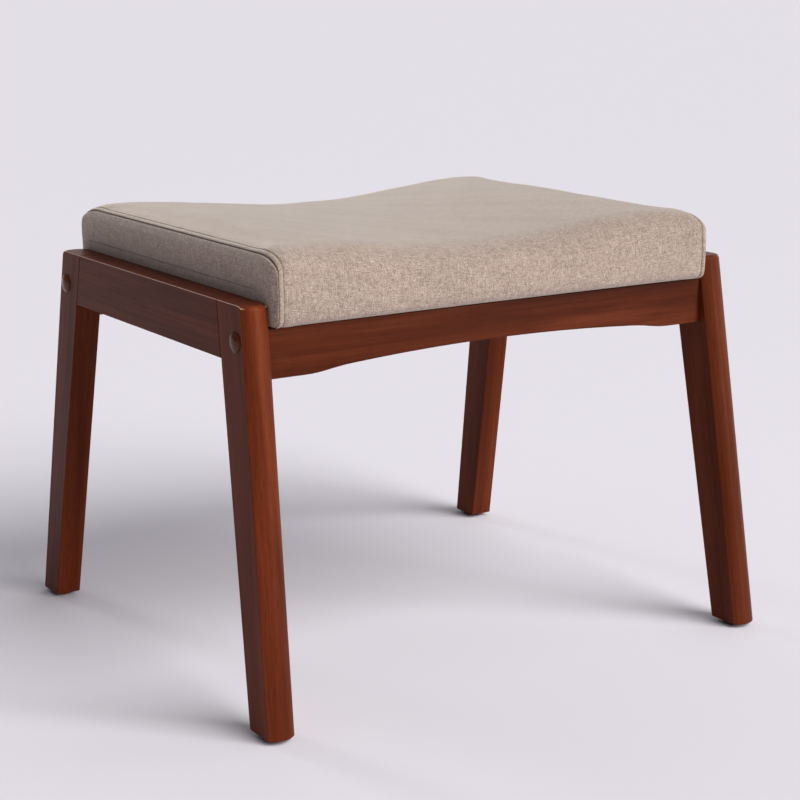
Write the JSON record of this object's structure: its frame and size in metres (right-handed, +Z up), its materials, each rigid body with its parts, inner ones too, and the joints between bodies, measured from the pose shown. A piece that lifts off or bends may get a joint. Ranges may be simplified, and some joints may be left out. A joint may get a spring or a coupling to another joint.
{
  "type": "glider ottoman",
  "caption": "Footstool with splayed stained hardwood legs, end rails, arched aprons and a saddle-shaped upholstered cushion on a plywood seat board.",
  "frame": {"origin": "on the floor under the middle of the seat", "axes": "+X along the long side of the seat, +Y to the rear, +Z up"},
  "size_m": [0.6032, 0.5376, 0.4507],
  "materials": {
    "stained_wood": "satin red-brown stain and lacquer",
    "block_wood": "bare sawn hardwood",
    "dowel_beech": "bare turned beech",
    "plywood": "bare plywood",
    "seat_fabric": "heathered warm beige weave",
    "dust_cloth": "black spun-bonded cloth",
    "foam": "open-cell upholstery foam",
    "glide_plastic": "matt black nylon",
    "zinc_steel": "zinc plated",
    "insert_brass": "turned brass",
    "staple_wire": "galvanised flat wire"
  },
  "bodies": {
    "root": {"apron_bolts": "zinc_steel", "apron_dowels": "dowel_beech", "bolt_washers": "zinc_steel", "corner_block_screws": "zinc_steel", "cover_left_end_panel": "seat_fabric", "cover_right_end_panel": "seat_fabric", "cover_wrap_panel": "seat_fabric", "dust_cover": "dust_cloth", "front_apron": "stained_wood", "front_left_corner_block": "block_wood", "front_left_glide": "glide_plastic", "front_left_leg": "stained_wood", "front_left_plug": "stained_wood", "front_right_corner_block": "block_wood", "front_right_glide": "glide_plastic", "front_right_leg": "stained_wood", "front_right_plug": "stained_wood", "glide_nails": "zinc_steel", "left_end_rail": "stained_wood", "rail_dowels": "dowel_beech", "rear_apron": "stained_wood", "rear_left_corner_block": "block_wood", "rear_left_glide": "glide_plastic", "rear_left_leg": "stained_wood", "rear_left_plug": "stained_wood", "rear_right_corner_block": "block_wood", "rear_right_glide": "glide_plastic", "rear_right_leg": "stained_wood", "rear_right_plug": "stained_wood", "right_end_rail": "stained_wood", "seat_board": "plywood", "seat_foam": "foam", "seat_screws": "zinc_steel", "staples": "staple_wire", "threaded_inserts": "insert_brass"}
  },
  "joints": []
}
